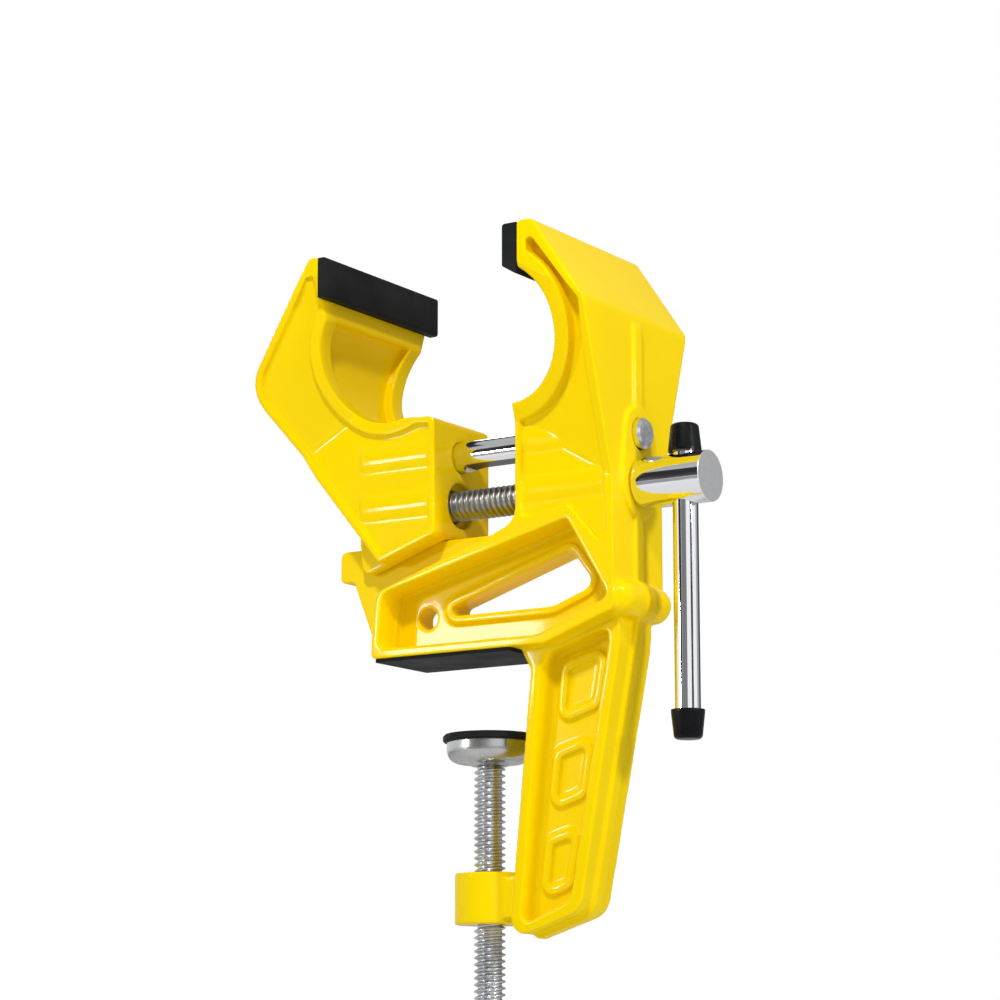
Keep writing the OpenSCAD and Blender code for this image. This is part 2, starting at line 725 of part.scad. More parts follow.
// Round nut pressed into the sliding block
module jaw_nut() {
  color(zinc) difference() {
    along_x(nut_r, slide_x - nut_face - nut_len, slide_x - nut_face, spindle_z);
    along_x(spindle_r + run_fit, slide_x - reach, slide_x, spindle_z);
  }
}

// Short pin that keeps the nut from turning
module jaw_nut_pin() {
  color(steel) along_y(pin_r, nut_r + press_gap, slide_boss_r - slide_gap, nut_pin_x, spindle_z);
}

// Sliding bar along +Z from its lower cap's end, with a spigot in each cap
module sliding_bar() {
  body = bar_len - 2 * cap_h;
  translate([0, 0, cap_h]) {
    cylinder(r = bar_d / 2, h = body);
    translate([0, 0, -cap_spigot]) cylinder(r = cap_spigot_r, h = body + 2 * cap_spigot);
  }
}

// End cap with its open end at the bottom and a rounded crown
module end_cap() {
  r0 = cap_d / 2;
  r1 = cap_d / 2 - 0.9;
  difference() {
    rotate_extrude() polygon(concat([[0, 0], [r0, 0], [r0, 1]],
      [for (a = [0:15:90]) [r1 - 1.6 + 1.6 * cos(a), cap_h - 1.6 + 1.6 * sin(a)]], [[0, cap_h]]));
    translate([0, 0, -cut]) cylinder(r = cap_spigot_r + press_gap, h = cap_spigot + cut);
  }
}

// Bottom end of the crank's bar when its upper cap rests on the head
crank_low = spindle_z + head_d / 2 + slide_gap + cap_h - bar_len;

module spindle_bar() {
  color(chrome) translate([bar_x, 0, crank_low]) sliding_bar();
}

module spindle_bar_cap_top() {
  color(black) translate([bar_x, 0, crank_low + bar_len - cap_h]) end_cap();
}

module spindle_bar_cap_bottom() {
  color(black) translate([bar_x, 0, crank_low + cap_h]) mirror([0, 0, 1]) end_cap();
}

// Clamp screw with a neck and a collar that turn inside the pad's cup
module clamp_screw() {
  color(steel) difference() {
    rotate_extrude() polygon([[0, clamp_end], [clamp_r, clamp_end], [clamp_r, cup_bottom - 2.2],
      [neck_r, cup_bottom - 1], [neck_r, collar_top - collar_t], [collar_r, collar_top - collar_t],
      [collar_r, collar_top - 0.8], [collar_r - 0.8, collar_top], [0, collar_top]]);
    clamp_place() translate([0, 0, shank_pin_at]) rotate([0, 90, shank_pin_turn])
      cylinder(r = pin_r, h = head_d);
  }
}

module clamp_head() {
  color(chrome) clamp_place() handle_head(clamp_r, shank_len + 0.1, head_len - bar_from_end);
}

module clamp_head_pin() {
  color(steel) clamp_place() handle_head_pin();
}

module clamp_bar_place() {
  translate([0, -bar_len / 2, clamp_bar_z]) rotate([-90, 0, 0]) children();
}

module clamp_bar() {
  color(chrome) clamp_bar_place() sliding_bar();
}

module clamp_bar_cap_near() {
  color(black) clamp_bar_place() translate([0, 0, cap_h]) mirror([0, 0, 1]) end_cap();
}

module clamp_bar_cap_far() {
  color(black) clamp_bar_place() translate([0, 0, bar_len - cap_h]) end_cap();
}

// Pressed cup with a rounded underside that hides the screw's collar
module clamp_pad_cup() {
  r = cup_d / 2;
  color(zinc) difference() {
    rotate_extrude() polygon(concat([[0, cup_bottom - 0.8], [neck_r + 3, cup_bottom - 0.8],
      [neck_r + 4.5, cup_bottom]],
      [for (a = [-80:10:0]) [r - 5 + 5 * cos(a), cup_top - 3 + 5 * sin(a)]], [[r, cup_top], [0, cup_top]]));
    translate([0, 0, cup_bottom - 2]) cylinder(r = neck_r + slide_gap, h = cup_h);
    translate([0, 0, collar_top - collar_t - slide_gap])
      cylinder(r = collar_r + slide_gap, h = collar_t + 2 * slide_gap);
  }
}

// Rubber face of the clamp pad
module clamp_pad_rubber() {
  color(black) translate([0, 0, cup_top]) rotate_extrude() polygon([[0, 0], [clamp_pad_d / 2 - 0.6, 0],
    [clamp_pad_d / 2, 0.6], [clamp_pad_d / 2, rubber_t - 0.8], [clamp_pad_d / 2 - 0.8, rubber_t], [0, rubber_t]]);
}

frame_casting();
moving_jaw_casting();
fixed_jaw_pad();
moving_jaw_pad();
seat_liner();
guide_rod();
guide_rod_pin();
rod_stop_pin();
jaw_spindle();
spindle_washer();
spindle_retaining_ring();
spindle_head();
spindle_head_pin();
jaw_nut();
jaw_nut_pin();
spindle_bar();
spindle_bar_cap_top();
spindle_bar_cap_bottom();
clamp_screw();
clamp_head();
clamp_head_pin();
clamp_bar();
clamp_bar_cap_near();
clamp_bar_cap_far();
clamp_pad_cup();
clamp_pad_rubber();
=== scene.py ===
"""Dresses the vise: soft die-cast edges, glossy yellow paint, chrome, rubber and real threads."""
import json
import math

import bmesh
import bpy
from mathutils import Matrix, Vector

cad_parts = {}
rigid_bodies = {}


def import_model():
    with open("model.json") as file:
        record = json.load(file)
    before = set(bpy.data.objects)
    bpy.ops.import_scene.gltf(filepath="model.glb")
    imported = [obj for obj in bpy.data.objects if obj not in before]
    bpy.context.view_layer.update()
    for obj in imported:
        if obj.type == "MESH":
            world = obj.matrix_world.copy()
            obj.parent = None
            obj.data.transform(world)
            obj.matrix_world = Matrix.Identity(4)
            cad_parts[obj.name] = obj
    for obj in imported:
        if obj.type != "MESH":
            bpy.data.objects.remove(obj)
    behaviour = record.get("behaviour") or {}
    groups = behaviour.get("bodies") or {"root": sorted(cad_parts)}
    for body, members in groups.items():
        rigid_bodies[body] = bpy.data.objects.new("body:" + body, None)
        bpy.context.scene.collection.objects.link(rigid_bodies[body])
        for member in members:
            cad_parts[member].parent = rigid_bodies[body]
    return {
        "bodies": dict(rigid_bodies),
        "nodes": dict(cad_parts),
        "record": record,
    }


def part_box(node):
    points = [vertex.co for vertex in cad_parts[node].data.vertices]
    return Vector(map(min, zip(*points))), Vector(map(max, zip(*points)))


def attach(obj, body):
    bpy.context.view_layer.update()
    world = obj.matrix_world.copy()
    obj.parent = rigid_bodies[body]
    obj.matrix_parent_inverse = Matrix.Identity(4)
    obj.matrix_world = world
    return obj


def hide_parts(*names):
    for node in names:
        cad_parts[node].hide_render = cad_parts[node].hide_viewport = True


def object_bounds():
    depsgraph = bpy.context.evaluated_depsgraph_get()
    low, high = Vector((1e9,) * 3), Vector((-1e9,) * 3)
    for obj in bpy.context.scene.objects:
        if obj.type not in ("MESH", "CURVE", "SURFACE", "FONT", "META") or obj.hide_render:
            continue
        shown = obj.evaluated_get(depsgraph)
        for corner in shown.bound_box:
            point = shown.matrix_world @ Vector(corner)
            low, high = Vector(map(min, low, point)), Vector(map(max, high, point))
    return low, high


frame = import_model()
cad_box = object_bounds()

# Camera, fitted to the photograph: place, tilt and turn in degrees, lens and sensor in mm, near limit
CAMERA_PLACE = (0.62725, -0.95262, -0.15932)
CAMERA_TILT = 101.015
CAMERA_TURN = 33.169
CAMERA_LENS = 107.64
SENSOR_WIDTH = 36.0
CLIP_START = 0.01

# Castings: grid of the new skin, passes and strength of its smoothing, share of the faces kept
CAST_VOXEL = 0.0005
CAST_SMOOTHING_PASSES = 12
CAST_SMOOTHING_FACTOR = 0.5
CAST_FACES_KEPT = 0.4

# Handle heads: how far their chamfers reach in the solid, and the share of that which is kept
RIM_DEPTH = 0.0019
RIM_SHARE = 0.12

# Round pieces: edges sharper than this angle in degrees stay sharp
SHARP_ANGLE = 50.0

# Threads: one turn of the profile is given by shares of the pitch and of the depth
THREAD_PITCH = 0.0025
THREAD_DEPTH = 0.0014
THREAD_SIDES = 48
THREAD_PROFILE = ((0.0, 1.0), (0.09, 0.97), (0.16, 0.85), (0.34, 0.14), (0.42, 0.0),
                  (0.66, 0.0), (0.74, 0.14), (0.90, 0.85), (0.96, 0.97))
WELD_DISTANCE = 1e-6

# Shanks beside the threads: length of the run-out, and how far the thread stops short of the shank
RUN_OUT = 0.001
THREAD_SHORT = 0.0005

# Clamp screw: how much thinner its neck and shank are, the collar inside the cup, the thread's ends
NECK_CUT = 0.002
SHANK_CUT = 0.0002
COLLAR_HEIGHT = 0.0026
COLLAR_CHAMFER = 0.0008
THREAD_UNDER_CUP = 0.0004
THREAD_IN_HEAD = 0.0015

# Colours, linear
PAINT = (0.94, 0.675, 0.0)
PAINT_DEEP = (0.92, 0.645, 0.0)
CHROME = (0.84, 0.85, 0.87)
SATIN = (0.93, 0.94, 0.95)
SATIN_DARK = (0.88, 0.89, 0.90)
BLASTED = (0.78, 0.79, 0.80)
BLASTED_DARK = (0.50, 0.51, 0.52)
# Painted shade: near-black painted on the guide rod's milled flat, which faces down into shade
ROD_FLAT_SHADE = (0.045, 0.045, 0.05)
STEEL = (0.46, 0.47, 0.48)
STEEL_DARK = (0.26, 0.27, 0.28)
PLATED_STEEL = (0.64, 0.65, 0.67)
PLATED_STEEL_DARK = (0.44, 0.45, 0.46)
ZINC = (0.52, 0.52, 0.50)
RUBBER = (0.006, 0.007, 0.007)
RUBBER_DUSTY = (0.014, 0.015, 0.015)
PLASTIC = (0.005, 0.005, 0.006)
FLOOR = (0.86, 0.86, 0.87)

# Roughness from smooth to rough spots, or one grey where it is mixed in as a colour
PAINT_ROUGHNESS = (0.16, 0.24)
CHROME_ROUGHNESS = (0.05, 0.08)
SATIN_ROUGHNESS = (0.34, 0.34, 0.34)
MILLED_ROUGHNESS = (0.30, 0.30, 0.30)
STEEL_ROUGHNESS = (0.28, 0.42)
PLATED_STEEL_ROUGHNESS = (0.26, 0.34)
ZINC_ROUGHNESS = (0.20, 0.34)
RUBBER_ROUGHNESS = (0.50, 0.68)
PLASTIC_ROUGHNESS = (0.22, 0.30)
FLOOR_ROUGHNESS = 0.9

# Shine of the paint and of rubber and plastic, and the paint's clear coat
PAINT_SHINE = 0.02
DARK_SHINE = 0.11
COAT_WEIGHT = 0.16
COAT_ROUGHNESS = 0.05

# Cloudy spots: their noise scale
PAINT_CLOUDS = 22.0
CHROME_CLOUDS = 60.0
END_CLOUDS = 420.0
STEEL_CLOUDS = 120.0
PLATED_STEEL_CLOUDS = 60.0
ZINC_CLOUDS = 90.0
RUBBER_CLOUDS = 60.0
PLASTIC_CLOUDS = 80.0

# Fine relief: its noise scale, or how many times finer it is than the clouds
PAINT_PEEL = 900.0
CHROME_FINE = 700.0
METAL_FINER = 12.0
DARK_FINER = 25.0

# Fine relief: octaves of its noise, strength and depth
PEEL_DETAIL = 2.0
METAL_DETAIL = 2.0
DARK_DETAIL = 3.0
PEEL_STRENGTH = 0.12
METAL_STRENGTH = 0.03
DARK_STRENGTH = 0.25
PEEL_DEPTH = 0.0004
METAL_DEPTH = 0.0002
RUBBER_DEPTH = 0.0004
PLASTIC_DEPTH = 0.0001

# How squarely a face looks along the axis to count as an end, and down to count as the rod's flat
END_FACING = (0.3, 0.5)
FLAT_FACING = (0.90, 0.94)

# Guide rod: its flat lies higher than this above the rod's lowest line, and how soft its edge is
FLAT_RISE = 0.0012
FLAT_EDGE = 0.0002

# Sockets of a Mix node that mixes colours
MIX_FACTOR = 0
MIX_UNDER = 6
MIX_OVER = 7
MIX_RESULT = 2

# Lamps: the point they are turned to, then name, place, width and power of each
LAMP_AIM = (0.0, 0.0, 0.08)
LAMPS = (
    ("key", (0.25, -0.55, 0.58), 0.07, 3.8),
    ("left", (-0.60, -0.90, 0.14), 0.10, 2.0),
    ("right", (0.88, -0.10, 0.26), 0.10, 2.8),
    ("back", (-0.75, 0.95, 0.60), 0.30, 2.6),
)

# Floor: half its width, how far the clamp's handle sinks when wound right down, the gap under that
FLOOR_HALF = 6.0
HANDLE_DROP = 0.0385
FLOOR_GAP = 0.0005

# Strength of the even light on the object from all round
WORLD_LIGHT = 0.36

# Panels that only metal reflects: turn from and to in degrees, low and high, softness, darkness
STUDIO_PANELS = (
    (-129.0, -106.0, -0.02, 0.52, 0.03, 0.97),
    (-104.0, -60.0, -0.03, 0.40, 0.02, 0.78),
    (-181.0, -60.0, 0.36, 0.60, 0.05, 0.50),
    (-181.0, 181.0, 0.55, 1.20, 0.06, 0.52),
    (-22.0, -4.0, -0.05, 0.70, 0.02, 0.96),
    (36.0, 104.0, -0.10, 0.80, 0.03, 0.58),
    (66.0, 123.0, 0.05, 0.32, 0.03, 0.93),
    (112.0, 152.0, 0.22, 0.80, 0.03, 0.92),
)


def new_material(name):
    """A node material with its shader, ready to be wired."""
    material = bpy.data.materials.new(name)
    material.use_nodes = True
    tree = material.node_tree
    shader = tree.nodes["Principled BSDF"]
    return material, tree, shader


def noise(tree, scale, detail=4.0, roughness=0.55):
    """Noise in object space, so that it stays with the piece."""
    place = tree.nodes.new("ShaderNodeTexCoord")
    texture = tree.nodes.new("ShaderNodeTexNoise")
    texture.inputs["Scale"].default_value = scale
    texture.inputs["Detail"].default_value = detail
    texture.inputs["Roughness"].default_value = roughness
    tree.links.new(place.outputs["Object"], texture.inputs["Vector"])
    return texture


def ramp(tree, source, low, high, start=0.35, end=0.65):
    """Spreads a value from low to high; both are colours or both are numbers."""
    stops = tree.nodes.new("ShaderNodeValToRGB")
    for element, value, place in zip(stops.color_ramp.elements, (low, high), (start, end)):
        element.position = place
        element.color = (*value, 1.0) if isinstance(value, tuple) else (value, value, value, 1.0)
    tree.links.new(source, stops.inputs["Fac"])
    return stops.outputs["Color"]


def bump(tree, shader, source, strength, distance):
    """Raises the surface by the source's value."""
    node = tree.nodes.new("ShaderNodeBump")
    node.inputs["Strength"].default_value = strength
    node.inputs["Distance"].default_value = distance
    tree.links.new(source, node.inputs["Height"])
    tree.links.new(node.outputs["Normal"], shader.inputs["Normal"])


def paint_material():
    """Thick glossy paint with the faint orange peel of a coated casting."""
    material, tree, shader = new_material("yellow_paint")
    broad = noise(tree, PAINT_CLOUDS)
    peel = noise(tree, PAINT_PEEL, PEEL_DETAIL)
    tree.links.new(ramp(tree, broad.outputs["Fac"], PAINT, PAINT_DEEP), shader.inputs["Base Color"])
    tree.links.new(ramp(tree, broad.outputs["Fac"], *PAINT_ROUGHNESS), shader.inputs["Roughness"])
    shader.inputs["Specular IOR Level"].default_value = PAINT_SHINE
    shader.inputs["Coat Weight"].default_value = COAT_WEIGHT
    shader.inputs["Coat Roughness"].default_value = COAT_ROUGHNESS
    bump(tree, shader, peel.outputs["Fac"], PEEL_STRENGTH, PEEL_DEPTH)
    return material


def metal_material(name, colour, dark, roughness, grain):
    """Bare or plated metal with a varying gloss."""
    material, tree, shader = new_material(name)
    cloud = noise(tree, grain)
    tree.links.new(ramp(tree, cloud.outputs["Fac"], colour, dark), shader.inputs["Base Color"])
    tree.links.new(ramp(tree, cloud.outputs["Fac"], *roughness), shader.inputs["Roughness"])
    shader.inputs["Metallic"].default_value = 1.0
    fine = noise(tree, grain * METAL_FINER, METAL_DETAIL)
    bump(tree, shader, fine.outputs["Fac"], METAL_STRENGTH, METAL_DEPTH)
    return material


def smooth_step(tree, value, low, high):
    """Rises smoothly from 0 to 1 as a value goes from low to high."""
    node = tree.nodes.new("ShaderNodeMapRange")
    node.interpolation_type = "SMOOTHSTEP"
    node.inputs["From Min"].default_value = low
    node.inputs["From Max"].default_value = high
    tree.links.new(value, node.inputs["Value"])
    return node.outputs["Result"]


def maths(tree, operation, first, second=0.0):
    """A Math node of two inputs, each a socket or a number."""
    node = tree.nodes.new("ShaderNodeMath")
    node.operation = operation
    for socket, value in zip(node.inputs, (first, second)):
        if isinstance(value, float):
            socket.default_value = value
        else:
            tree.links.new(value, socket)
    return node.outputs["Value"]


def mixed(tree, mask, under, over):
    """One colour over another where the mask is 1; each is a socket or a colour."""
    node = tree.nodes.new("ShaderNodeMix")
    node.data_type = "RGBA"
    tree.links.new(mask, node.inputs[MIX_FACTOR])
    for socket, value in ((node.inputs[MIX_UNDER], under), (node.inputs[MIX_OVER], over)):
        if isinstance(value, tuple):
            socket.default_value = (*value, 1.0)
        else:
            tree.links.new(value, socket)
    return node.outputs[MIX_RESULT]


def chrome_material(name, axis, end_colour, end_dark, flat_above=None):
    """Bright chrome with satin ends square to an axis, and a milled flat above a height painted
    near-black as shade.
    """
    material, tree, shader = new_material(name)
    place = tree.nodes.new("ShaderNodeTexCoord")
    normal = tree.nodes.new("ShaderNodeSeparateXYZ")
    point = tree.nodes.new("ShaderNodeSeparateXYZ")
    tree.links.new(place.outputs["Normal"], normal.inputs["Vector"])
    tree.links.new(place.outputs["Object"], point.inputs["Vector"])
    ends = smooth_step(tree, maths(tree, "ABSOLUTE", normal.outputs[axis]), *END_FACING)
    cloud = noise(tree, END_CLOUDS)
    satin = ramp(tree, cloud.outputs["Fac"], end_colour, end_dark)
    colour = mixed(tree, ends, CHROME, satin)
    gloss = noise(tree, CHROME_CLOUDS)
    rough = mixed(tree, ends, ramp(tree, gloss.outputs["Fac"], *CHROME_ROUGHNESS), SATIN_ROUGHNESS)
    # Painted shade: the downward milled flat above that height is coloured near-black
    if flat_above is not None:
        down = smooth_step(tree, maths(tree, "MULTIPLY", normal.outputs["Z"], -1.0), *FLAT_FACING)
        above = smooth_step(tree, point.outputs["Z"], flat_above - FLAT_EDGE, flat_above)
        flat = maths(tree, "MULTIPLY", down, above)
        colour = mixed(tree, flat, colour, ROD_FLAT_SHADE)
        rough = mixed(tree, flat, rough, MILLED_ROUGHNESS)
    tree.links.new(colour, shader.inputs["Base Color"])
    tree.links.new(rough, shader.inputs["Roughness"])
    shader.inputs["Metallic"].default_value = 1.0
    fine = noise(tree, CHROME_FINE, METAL_DETAIL)
    bump(tree, shader, fine.outputs["Fac"], METAL_STRENGTH, METAL_DEPTH)
    return material


def dark_material(name, colour, dusty, roughness, grain, depth):
    """Black rubber or plastic, a little dusty."""
    material, tree, shader = new_material(name)
    cloud = noise(tree, grain)
    tree.links.new(ramp(tree, cloud.outputs["Fac"], colour, dusty), shader.inputs["Base Color"])
    tree.links.new(ramp(tree, cloud.outputs["Fac"], *roughness), shader.inputs["Roughness"])
    shader.inputs["Specular IOR Level"].default_value = DARK_SHINE
    fine = noise(tree, grain * DARK_FINER, DARK_DETAIL)
    bump(tree, shader, fine.outputs["Fac"], DARK_STRENGTH, depth)
    return material


# Height from which the guide rod's lower side is its milled flat
ROD_FLAT_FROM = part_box("guide_rod")[0][2] + FLAT_RISE

# The slots' materials; chrome goes by the axis that its satin ends face along
MATERIALS = {
    "paint": paint_material(),
    "chrome_along_x": chrome_material("chrome_plate_x", "X", SATIN, SATIN_DARK),
    "chrome_along_z": chrome_material("chrome_plate_z", "Z", SATIN, SATIN_DARK),
    "chrome_along_y": chrome_material("chrome_plate_y", "Y", SATIN, SATIN_DARK),
    "chrome_rod": chrome_material("chrome_rod", "X", BLASTED, BLASTED_DARK, ROD_FLAT_FROM),
    "steel": metal_material("turned_steel", STEEL, STEEL_DARK, STEEL_ROUGHNESS, STEEL_CLOUDS),
    "plated_steel": metal_material("plated_steel", PLATED_STEEL, PLATED_STEEL_DARK,
                                   PLATED_STEEL_ROUGHNESS, PLATED_STEEL_CLOUDS),
    "zinc": metal_material("zinc_plate", ZINC, STEEL, ZINC_ROUGHNESS, ZINC_CLOUDS),
    "rubber": dark_material("black_rubber", RUBBER, RUBBER_DUSTY, RUBBER_ROUGHNESS,
                            RUBBER_CLOUDS, RUBBER_DEPTH),
    "plastic": dark_material("black_plastic", PLASTIC, RUBBER, PLASTIC_ROUGHNESS,
                             PLASTIC_CLOUDS, PLASTIC_DEPTH),
}

# Nodes whose faces are turned or moulded round
ROUND_NODES = (
    "guide_rod", "guide_rod_pin", "rod_stop_pin",
    "spindle_bar", "spindle_bar_cap_top", "spindle_bar_cap_bottom",
    "clamp_bar", "clamp_bar_cap_near", "clamp_bar_cap_far",
    "clamp_pad_cup", "clamp_pad_rubber",
)

# Handle heads: node, piece, its axis, the end with the rim (0 low, 1 high) and body
HANDLE_HEADS = (
    ("spindle_head", "spindle_head_plated", 0, 1, "spindle"),
    ("clamp_head", "clamp_head_plated", 2, 0, "clamp_spindle"),
)

# Slot of each node, and which chrome a chromed node has
SLOT_OF = {entry["node"]: entry["material_slot"] for entry in frame["record"]["subparts"]}
CHROME_OF = {
    "guide_rod": "chrome_rod",
    "spindle_head": "chrome_along_x",
    "spindle_bar": "chrome_along_z",
    "clamp_head": "chrome_along_z",
    "clamp_bar": "chrome_along_y",
}


def set_material(piece, slot):
    """Gives a piece one material in place of whatever it has."""
    piece.data.materials.clear()
    piece.data.materials.append(MATERIALS[slot])


def copy_of(node, name):
    """A separate object with a CAD node's mesh."""
    piece = bpy.data.objects.new(name, frame["nodes"][node].data.copy())
    bpy.context.scene.collection.objects.link(piece)
    piece.matrix_world = frame["nodes"][node].matrix_world
    return piece


def apply_modifiers(piece):
    """Makes a piece's modifiers part of its mesh."""
    graph = bpy.context.evaluated_depsgraph_get()
    mesh = bpy.data.meshes.new_from_object(piece.evaluated_get(graph))
    piece.modifiers.clear()
    piece.data = mesh


def soft_casting(node, name, body):
    """Rounds a casting's edges and inner corners the way a die-cast part has them."""
    piece = copy_of(node, name)
    remesh = piece.modifiers.new("skin", "REMESH")
    remesh.mode = "VOXEL"
    remesh.voxel_size = CAST_VOXEL
    remesh.use_smooth_shade = True
    smooth = piece.modifiers.new("soft", "SMOOTH")
    smooth.factor = CAST_SMOOTHING_FACTOR
    smooth.iterations = CAST_SMOOTHING_PASSES
    thin = piece.modifiers.new("fewer_faces", "DECIMATE")
    thin.ratio = CAST_FACES_KEPT
    apply_modifiers(piece)
    piece.data.shade_smooth()
    set_material(piece, "paint")
    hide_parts(node)
    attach(piece, body)


def finish_copy(piece, node, material, body):
    """Smooths a copy's curved faces, keeps its flat ones flat, and sets it in place of its node."""
    piece.data.shade_smooth()
    piece.data.set_sharp_from_angle(angle=math.radians(SHARP_ANGLE))
    weigh = piece.modifiers.new("flat_faces", "WEIGHTED_NORMAL")
    weigh.keep_sharp = True
    apply_modifiers(piece)
    set_material(piece, material)
    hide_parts(node)
    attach(piece, body)


def smooth_copy(node, body):
    """Replaces a turned or moulded node by the same shape with its round faces shaded round."""
    finish_copy(copy_of(node, node + "_smooth"), node, CHROME_OF.get(node, SLOT_OF[node]), body)


def crisp_head(node, name, axis, outer, body):
    """A handle head whose outer rim is as tight as on a turned and plated part."""
    piece = copy_of(node, name)
    low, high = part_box(node)
    end = (low, high)[outer][axis]
    across = [i for i in range(3) if i != axis]
    middle = [(low[i] + high[i]) / 2.0 for i in across]
    radius = (high[across[0]] - low[across[0]]) / 2.0
    for vertex in piece.data.vertices:
        place = vertex.co
        away = [place[i] - m for i, m in zip(across, middle)]
        reach = math.hypot(*away)
        if abs(place[axis] - end) < RIM_DEPTH and reach > radius - RIM_DEPTH:
            wanted = radius - (radius - reach) * RIM_SHARE
            place[axis] = end + (place[axis] - end) * RIM_SHARE
            for i, m, a in zip(across, middle, away):
                place[i] = m + a * wanted / reach
    finish_copy(piece, node, CHROME_OF[node], body)


def thread_radius(share, radius):
    """Radius of the thread at a share of the pitch."""
    points = THREAD_PROFILE + ((1.0, 1.0),)
    for (low, low_height), (high, high_height) in zip(points, points[1:]):
        if low <= share <= high:
            height = low_height + (high_height - low_height) * (share - low) / (high - low)
            return radius - THREAD_DEPTH * (1.0 - height)
    return radius


def ring_of_vertices(mesh, radius, height):
    """New vertices round the Z axis."""
    angles = [2.0 * math.pi * side / THREAD_SIDES for side in range(THREAD_SIDES)]
    return [mesh.verts.new((radius * math.cos(a), radius * math.sin(a), height)) for a in angles]


def thread_mesh(name, low, high, radius):
    """A right-hand thread along +Z between two heights, closed at both ends."""
    mesh = bmesh.new()
    turns = int((high - low) / THREAD_PITCH) + 2
    shares = [turn + share for turn in range(-1, turns) for share, _ in THREAD_PROFILE]
    core = radius - THREAD_DEPTH
    rows = []
    for share in shares:
        row = []
        for side in range(THREAD_SIDES + 1):
            turned = side / THREAD_SIDES
            height = low + (share + turned) * THREAD_PITCH
            inside = low < height < high
            reach = thread_radius(share % 1.0, radius) if inside else core
            height = min(max(height, low), high)
            angle = 2.0 * math.pi * turned
            row.append(mesh.verts.new((reach * math.cos(angle), reach * math.sin(angle), height)))
        rows.append(row)
    for lower, upper in zip(rows, rows[1:]):
        for side in range(THREAD_SIDES):
            mesh.faces.new((lower[side], lower[side + 1], upper[side + 1], upper[side]))
    for height, flip in ((low, True), (high, False)):
        ring = ring_of_vertices(mesh, core, height)
        mesh.faces.new(ring[::-1] if flip else ring)
    bmesh.ops.remove_doubles(mesh, verts=mesh.verts, dist=WELD_DISTANCE)
    data = bpy.data.meshes.new(name)
    mesh.to_mesh(data)
    mesh.free()
    data.shade_smooth()
    return data


def turned_mesh(name, profile):
    """A turned piece along +Z from a list of radius and height."""
    mesh = bmesh.new()
    rows = [ring_of_vertices(mesh, radius, height) for radius, height in profile]
    for lower, upper in zip(rows, rows[1:]):
        for side in range(THREAD_SIDES):
            after = (side + 1) % THREAD_SIDES
            mesh.faces.new((lower[side], lower[after], upper[after], upper[side]))
    mesh.faces.new(rows[0][::-1])
    mesh.faces.new(rows[-1])
    data = bpy.data.meshes.new(name)
    mesh.to_mesh(data)
    mesh.free()
    data.shade_smooth()
    return data


def new_piece(name, meshes, place, turn, material, node, body):
    """One piece from meshes drawn along +Z, set in place of a CAD node."""
    joined = bmesh.new()
    for mesh in meshes:
        joined.from_mesh(mesh)
    joined.transform(Matrix.Translation(place) @ turn)
    data = bpy.data.meshes.new(name)
    joined.to_mesh(data)
    joined.free()
    piece = bpy.data.objects.new(name, data)
    bpy.context.scene.collection.objects.link(piece)
    set_material(piece, material)
    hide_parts(node)
    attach(piece, body)


def threaded_spindle():
    """The jaw's spindle: thread up to the fixed block, plain shank through it and into the head."""
    low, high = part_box("jaw_spindle")
    radius = (high[2] - low[2]) / 2.0
    middle = (low[2] + high[2]) / 2.0
    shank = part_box("spindle_retaining_ring")[0][0] - low[0]
    length = high[0] - low[0]
    rod = [(radius - THREAD_DEPTH, shank - RUN_OUT), (radius, shank), (radius, length)]
    thread = thread_mesh("spindle_thread", 0.0, shank - THREAD_SHORT, radius)
    meshes = [thread, turned_mesh("spindle_shank", rod)]
    along_x = Matrix.Rotation(math.radians(90.0), 4, "Y")
    place = (low[0], 0.0, middle)
    new_piece("spindle_with_thread", meshes, place, along_x, "steel", "jaw_spindle", "spindle")


def threaded_clamp_screw():
    """The clamp screw: thread from its head up to the cup, then the neck and collar inside the cup."""
    low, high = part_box("clamp_screw")
    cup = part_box("clamp_pad_cup")[0][2]
    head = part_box("clamp_head")[1][2]
    # Its own box is as wide as the collar; its thread is the spindle's
    collar = (high[0] - low[0]) / 2.0
    radius = (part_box("jaw_spindle")[1][2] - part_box("jaw_spindle")[0][2]) / 2.0
    neck = radius - NECK_CUT
    thread_top = cup - THREAD_UNDER_CUP
    plain = radius - SHANK_CUT
    shank = [(plain, low[2]), (plain, head - 2 * RUN_OUT), (neck, head - RUN_OUT)]
    under_collar = high[2] - COLLAR_HEIGHT
    inside = [(neck, thread_top - RUN_OUT), (neck, under_collar), (collar, under_collar),
              (collar, high[2] - COLLAR_CHAMFER), (collar - COLLAR_CHAMFER, high[2])]
    meshes = [thread_mesh("clamp_thread", head - THREAD_IN_HEAD, thread_top, radius),
              turned_mesh("clamp_shank", shank), turned_mesh("clamp_collar", inside)]
    place = (0.0, 0.0, 0.0)
    upright = Matrix.Identity(4)
    new_piece("clamp_screw_with_thread", meshes, place, upright, "plated_steel",
              "clamp_screw", "clamp_spindle")


def dress_node(node):
    """Gives a CAD node its material."""
    set_material(frame["nodes"][node], CHROME_OF.get(node, SLOT_OF[node]))


def make_camera():
    """The photograph's camera."""
    data = bpy.data.cameras.new("camera")
    data.lens = CAMERA_LENS
    data.sensor_width = SENSOR_WIDTH
    data.clip_start = CLIP_START
    camera = bpy.data.objects.new("camera", data)
    camera.location = CAMERA_PLACE
    camera.rotation_euler = (math.radians(CAMERA_TILT), 0.0, math.radians(CAMERA_TURN))
    bpy.context.scene.collection.objects.link(camera)
    bpy.context.scene.camera = camera


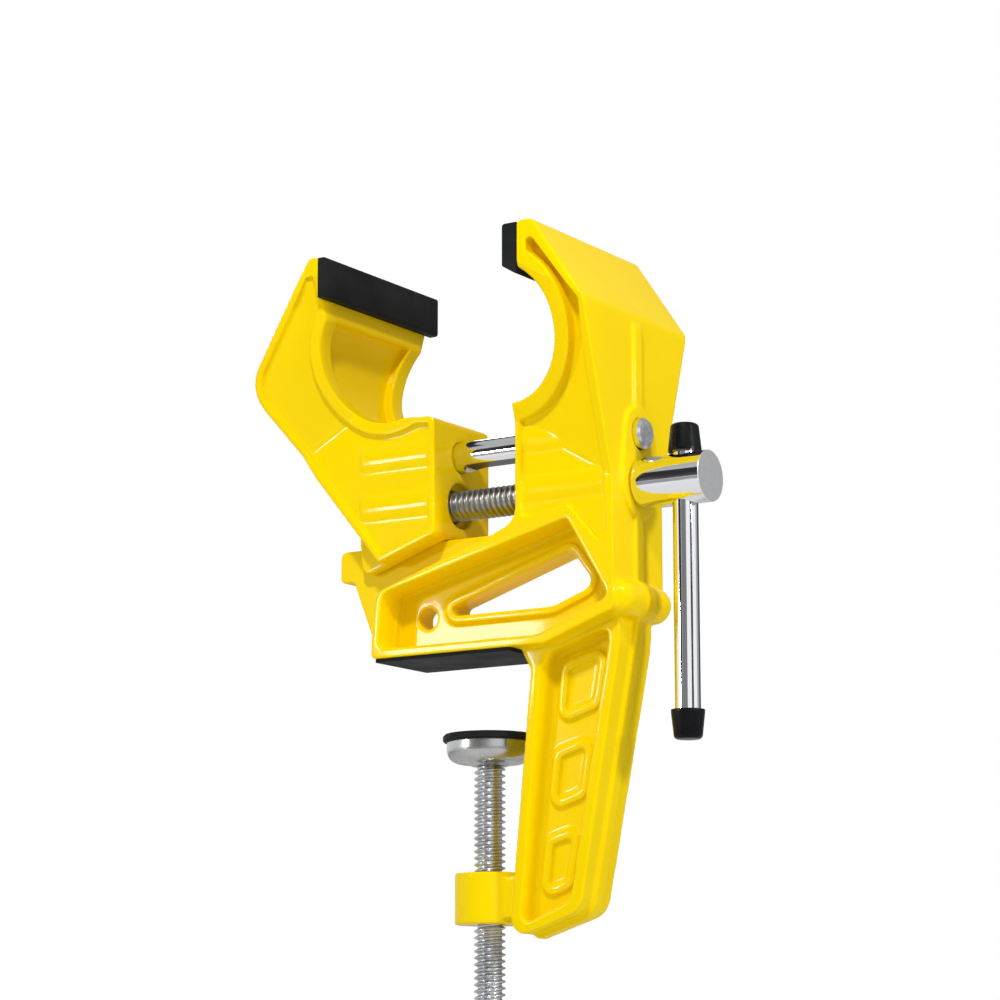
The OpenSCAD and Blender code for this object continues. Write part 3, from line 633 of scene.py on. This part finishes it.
def add_light(name, place, aim, width, power):
    """A square soft light at a place, turned to a point."""
    data = bpy.data.lights.new(name, "AREA")
    data.shape = "SQUARE"
    data.size = width
    data.energy = power
    lamp = bpy.data.objects.new(name, data)
    lamp.location = place
    lamp.visible_camera = False
    lamp.rotation_euler = (Vector(aim) - Vector(place)).to_track_quat("-Z", "Y").to_euler()
    bpy.context.scene.collection.objects.link(lamp)


def between(tree, value, low, high, soft):
    """Rises to 1 between two limits of a value and falls to 0 outside them."""
    return maths(tree, "MULTIPLY", smooth_step(tree, value, low - soft, low + soft),
                 maths(tree, "SUBTRACT", 1.0, smooth_step(tree, value, high - soft, high + soft)))


def make_world():
    """Even light, a white background, and the studio's dark panels for the metal to reflect."""
    world = bpy.data.worlds.new("studio")
    bpy.context.scene.world = world
    world.use_nodes = True
    tree = world.node_tree
    background = tree.nodes["Background"]
    path = tree.nodes.new("ShaderNodeLightPath")
    direction = tree.nodes.new("ShaderNodeTexCoord")
    axes = tree.nodes.new("ShaderNodeSeparateXYZ")
    tree.links.new(direction.outputs["Generated"], axes.inputs["Vector"])
    turn = maths(tree, "ARCTAN2", axes.outputs["Y"], axes.outputs["X"])
    shade = None
    for from_turn, to_turn, low, high, soft, darkness in STUDIO_PANELS:
        side = between(tree, turn, math.radians(from_turn), math.radians(to_turn), soft)
        height = between(tree, axes.outputs["Z"], low, high, soft)
        panel = maths(tree, "MULTIPLY", maths(tree, "MULTIPLY", side, height), darkness)
        shade = panel if shade is None else maths(tree, "MAXIMUM", shade, panel)
    glossy = path.outputs["Is Glossy Ray"]
    camera = path.outputs["Is Camera Ray"]
    seen = maths(tree, "MULTIPLY", maths(tree, "SUBTRACT", 1.0, shade), glossy)
    seen = maths(tree, "MAXIMUM", seen, camera)
    unseen = maths(tree, "SUBTRACT", 1.0, maths(tree, "MAXIMUM", glossy, camera))
    level = maths(tree, "ADD", seen, maths(tree, "MULTIPLY", unseen, WORLD_LIGHT))
    background.inputs["Color"].default_value = (1.0, 1.0, 1.0, 1.0)
    tree.links.new(level, background.inputs["Strength"])


def make_floor():
    """A plain pale floor, clear of the clamp's handle when it is wound right down."""
    half = FLOOR_HALF
    corners = [(-half, -half, 0), (half, -half, 0), (half, half, 0), (-half, half, 0)]
    mesh = bpy.data.meshes.new("floor")
    mesh.from_pydata(corners, [], [(0, 1, 2, 3)])
    material, _, shader = new_material("pale_floor")
    shader.inputs["Base Color"].default_value = (*FLOOR, 1.0)
    shader.inputs["Roughness"].default_value = FLOOR_ROUGHNESS
    mesh.materials.append(material)
    floor = bpy.data.objects.new("floor", mesh)
    floor.location = (0.0, 0.0, cad_box[0][2] - HANDLE_DROP - FLOOR_GAP)
    bpy.context.scene.collection.objects.link(floor)


make_camera()
make_world()
make_floor()
for lamp_name, lamp_place, lamp_width, lamp_power in LAMPS:
    add_light(lamp_name, lamp_place, LAMP_AIM, lamp_width, lamp_power)

for node_name in frame["nodes"]:
    dress_node(node_name)
for body_name, empty in frame["bodies"].items():
    for node_name in ROUND_NODES:
        if frame["nodes"][node_name].parent == empty:
            smooth_copy(node_name, body_name)
threaded_spindle()
threaded_clamp_screw()
for head in HANDLE_HEADS:
    crisp_head(*head)
soft_casting("frame_casting", "frame_skin", "frame")
soft_casting("moving_jaw_casting", "moving_jaw_skin", "sliding_jaw")

bpy.context.scene.view_settings.view_transform = "Standard"
